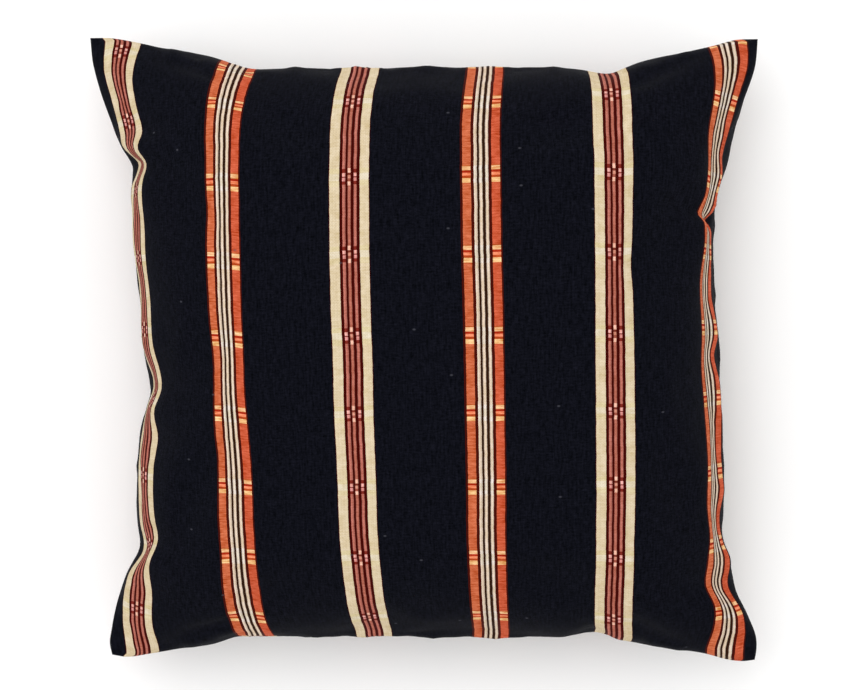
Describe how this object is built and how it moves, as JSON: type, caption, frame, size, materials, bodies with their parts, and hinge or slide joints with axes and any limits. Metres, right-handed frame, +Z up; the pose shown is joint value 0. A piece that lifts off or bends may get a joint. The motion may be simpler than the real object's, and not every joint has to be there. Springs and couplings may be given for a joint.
{
  "type": "striped throw pillow",
  "caption": "Square knife-edge throw pillow of black handwoven cotton with orange and cream stripes, plump, with drawn-in sides and pointed corners, lying on its back.",
  "frame": {"origin": "middle of the pillow's box, on the surface that its back rests on", "axes": "+Z up out of the front panel, +X along the top edge to the right of the stripes, +Y along the stripes to the top edge"},
  "size_m": [0.4968, 0.4636, 0.1592],
  "materials": {
    "cover_cloth": "matt handwoven black cotton with orange and cream warp stripes"
  },
  "bodies": {
    "root": {"cushion": "cover_cloth"}
  },
  "joints": []
}
